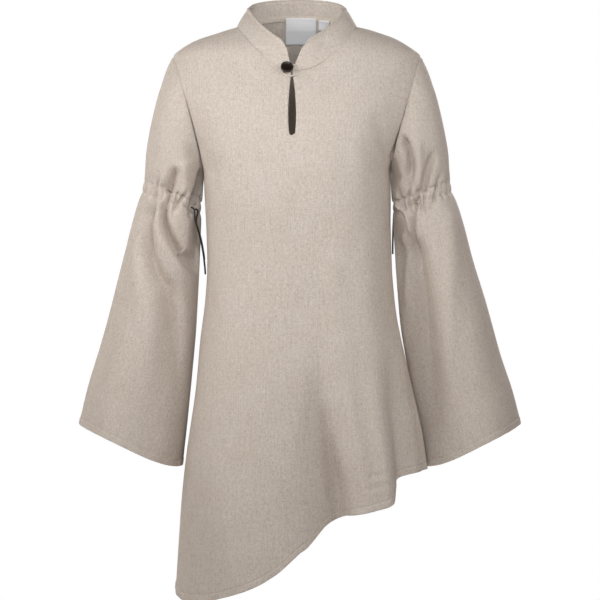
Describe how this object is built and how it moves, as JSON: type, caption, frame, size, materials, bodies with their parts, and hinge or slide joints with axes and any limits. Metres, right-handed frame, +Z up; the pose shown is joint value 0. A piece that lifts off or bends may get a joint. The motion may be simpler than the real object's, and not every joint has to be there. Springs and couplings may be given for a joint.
{
  "type": "blouse",
  "caption": "Hollow, filled-out linen tunic blouse with stand collar, keyhole neck and button, gathered bell sleeves with drawstring casings, and a slanted hem.",
  "frame": {"origin": "between the two points where the shoulder seams meet the collar, where the wearer's shoulders hold the garment up", "axes": "+Z up, the front faces -Y, +X towards the wearer's left"},
  "size_m": [0.7189, 0.3166, 0.9689],
  "materials": {
    "linen": "slub linen in two natural greys and browns, matt, with a visible plain weave",
    "button": "dark brown turned button with a satin sheen",
    "label": "white woven satin ribbon, bare",
    "cord": "thin black braided cord, matt"
  },
  "bodies": {
    "root": {"body_front": "linen", "body_back": "linen", "collar": "linen", "sleeve_upper_right": "linen", "sleeve_upper_left": "linen", "casing_right": "linen", "casing_left": "linen", "sleeve_lower_right": "linen", "sleeve_lower_left": "linen", "button": "button", "button_loop": "linen", "neck_label": "label", "size_tab": "label", "drawstring_right_1": "cord", "drawstring_right_2": "cord", "drawstring_left_1": "cord", "drawstring_left_2": "cord"}
  },
  "joints": []
}
